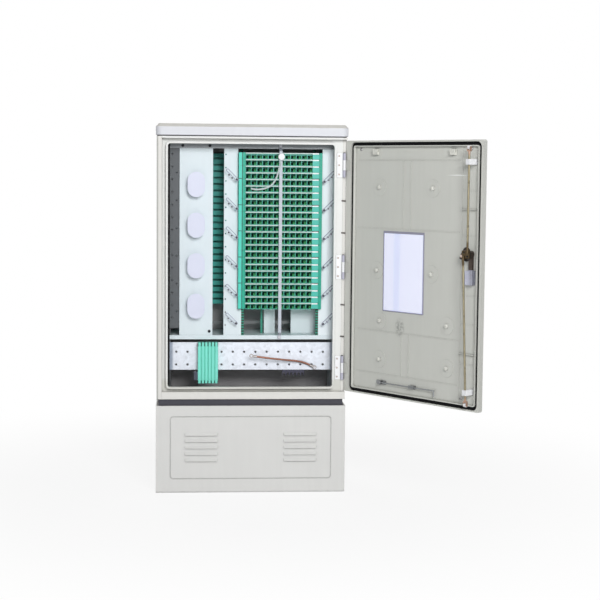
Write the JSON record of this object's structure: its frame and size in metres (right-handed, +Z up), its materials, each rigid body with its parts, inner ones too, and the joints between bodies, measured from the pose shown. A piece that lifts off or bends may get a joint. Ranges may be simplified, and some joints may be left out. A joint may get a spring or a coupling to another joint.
{
  "type": "roadside fibre cabinet",
  "caption": "Roadside fibre cross-connect cabinet on a louvred plinth, with a hinged door, a rod lock, splice trays, slack spools and floor cable entries.",
  "frame": {"origin": "centre of the anchor hole pattern at the underside of the plinth", "axes": "+Z up, the front with its door opening faces -Y, the door is hinged on the +X side"},
  "size_m": [1.1914, 0.8588, 1.45],
  "materials": {
    "moulding": "satin moulded compound",
    "neck": "dark moulded compound",
    "rubber": "matt rubber",
    "galvanised": "zinc coated",
    "dark_sheet": "grey painted sheet",
    "white_sheet": "white painted sheet",
    "white_plastic": "white nylon",
    "green_tray": "green moulding",
    "dark_green": "dark green moulding",
    "copper": "bare copper",
    "bright_steel": "bright zinc",
    "yellow_zinc": "yellow zinc",
    "dark_zinc": "dark zinc casting",
    "clear_film": "clear film",
    "paper": "blank paper"
  },
  "bodies": {
    "cabinet": {"back_panel": "moulding", "bar_thumbscrew": "white_plastic", "bar_tie": "white_plastic", "base_frame": "galvanised", "cabinet_floor": "neck", "cabinet_screws": "bright_steel", "cable_grommets": "rubber", "comb_bracket": "galvanised", "earth_lead": "copper", "earth_plate": "galvanised", "fibre_rings": "white_plastic", "fixed_lug": "bright_steel", "free_lug": "bright_steel", "front_frame": "moulding", "front_sill": "moulding", "hinge_leaves": "bright_steel", "hinge_pins": "bright_steel", "label_strips": "white_plastic", "lower_shields": "white_sheet", "neck_frame": "neck", "plinth_back": "moulding", "plinth_front": "moulding", "plinth_left": "moulding", "plinth_right": "moulding", "port_adapters": "dark_green", "rack_shelf": "galvanised", "rack_side_left": "dark_sheet", "rack_side_right": "galvanised", "rack_top_beam": "galvanised", "rear_crossbars": "galvanised", "rear_splice_store": "dark_green", "retaining_bar": "galvanised", "roof": "moulding", "side_left": "moulding", "side_right": "moulding", "slack_panel": "white_sheet", "slack_spools": "white_plastic", "splice_trays_lower": "green_tray", "splice_trays_upper": "green_tray", "top_panel": "moulding", "tray_rails": "dark_green", "tube_guide": "green_tray", "wing_left": "white_sheet", "wing_right": "white_sheet"},
    "door": {"door_shell": "moulding", "door_gasket": "rubber", "door_hinge_leaves": "bright_steel", "document_pocket": "clear_film", "document_sheet": "paper", "rod_guides": "white_plastic", "lock_body": "bright_steel", "door_brackets": "bright_steel", "handle_plate": "dark_zinc"},
    "lock": {"lock_crank": "dark_zinc"},
    "lever": {"handle": "dark_zinc"},
    "upper_rod": {"rod_upper": "yellow_zinc"},
    "lower_rod": {"rod_lower": "yellow_zinc"},
    "upper_wheel": {"roller_upper": "white_plastic"},
    "lower_wheel": {"roller_lower": "white_plastic"},
    "stay": {"door_stay": "bright_steel"}
  },
  "joints": [
    {"name": "door_swing", "type": "hinge", "parent": "cabinet", "child": "door", "pos_m": [0.361, -0.1385, 0.894], "axis": [0, 0, 1], "range_deg": [-127.8, 4]},
    {"name": "lock_turn", "type": "hinge", "parent": "door", "child": "lock", "pos_m": [0.76062, -0.65368, 0.977], "axis": [-0.7902, -0.6129, 0], "range_deg": [0, 90]},
    {"name": "handle_lift", "type": "hinge", "parent": "lock", "child": "lever", "pos_m": [0.7942, -0.62763, 0.977], "axis": [0, 0, -1], "range_deg": [0, 40]},
    {"name": "rod_upper_slide", "type": "slide", "parent": "door", "child": "upper_rod", "axis": [0, 0, 1], "range_m": [0, 0.01415]},
    {"name": "rod_lower_slide", "type": "slide", "parent": "door", "child": "lower_rod", "axis": [0.028, -0.0361, -0.999], "range_m": [0, 0.01415]},
    {"name": "roller_upper_spin", "type": "hinge", "parent": "upper_rod", "child": "upper_wheel", "pos_m": [0.75296, -0.67481, 1.362], "axis": [0.6129, -0.7902, 0], "continuous": true},
    {"name": "roller_lower_spin", "type": "hinge", "parent": "lower_rod", "child": "lower_wheel", "pos_m": [0.75541, -0.67797, 0.43], "axis": [0.6129, -0.7902, 0], "continuous": true},
    {"name": "stay_swing", "type": "hinge", "parent": "door", "child": "stay", "pos_m": [0.49192, -0.2926, 0.458], "axis": [0, 0, -1], "range_deg": [0, 100]}
  ],
  "couplings": [
    {"joint": "rod_upper_slide", "follows": "lock_turn", "m_per_rad": 0.0090031},
    {"joint": "rod_lower_slide", "follows": "lock_turn", "m_per_rad": 0.0090031}
  ]
}
